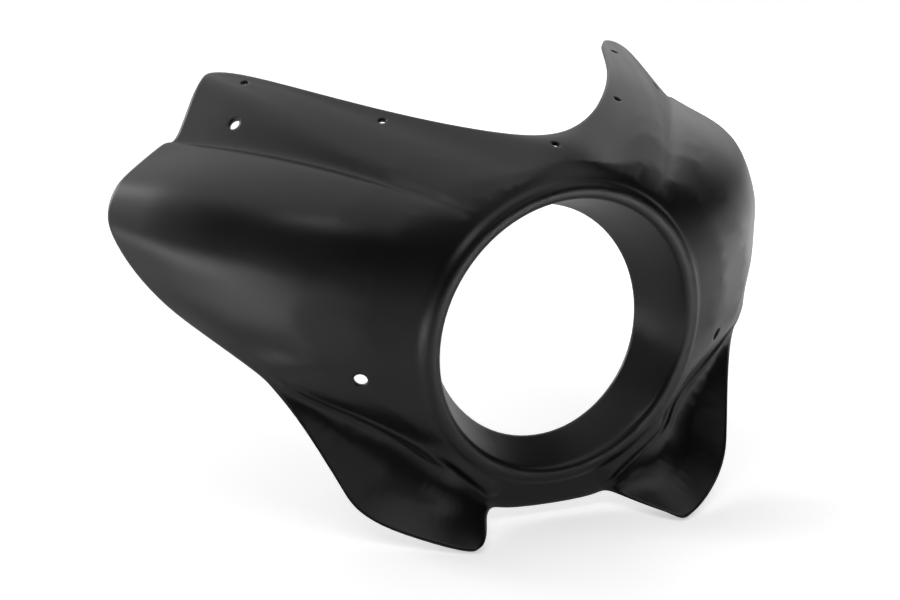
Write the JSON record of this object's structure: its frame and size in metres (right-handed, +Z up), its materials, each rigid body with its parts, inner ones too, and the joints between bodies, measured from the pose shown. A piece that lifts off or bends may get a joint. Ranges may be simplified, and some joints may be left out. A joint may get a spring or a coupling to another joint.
{
  "type": "motorcycle semi-fairing",
  "caption": "Moulded half-fairing shell that wraps a round headlamp: collared lamp opening, swept side wings with a stepped shoulder, scooped lower lobes and drilled fixing holes",
  "frame": {"origin": "centre of the lamp opening, in the plane of its front lip", "axes": "+X to the right as seen from the front, -Y to the front where the lamp looks, +Z up; the shell is symmetric about X = 0"},
  "size_m": [0.4992, 0.2691, 0.2616],
  "materials": {
    "shell_plastic": "satin black moulded plastic"
  },
  "bodies": {
    "root": {"fairing_shell": "shell_plastic"}
  },
  "joints": []
}
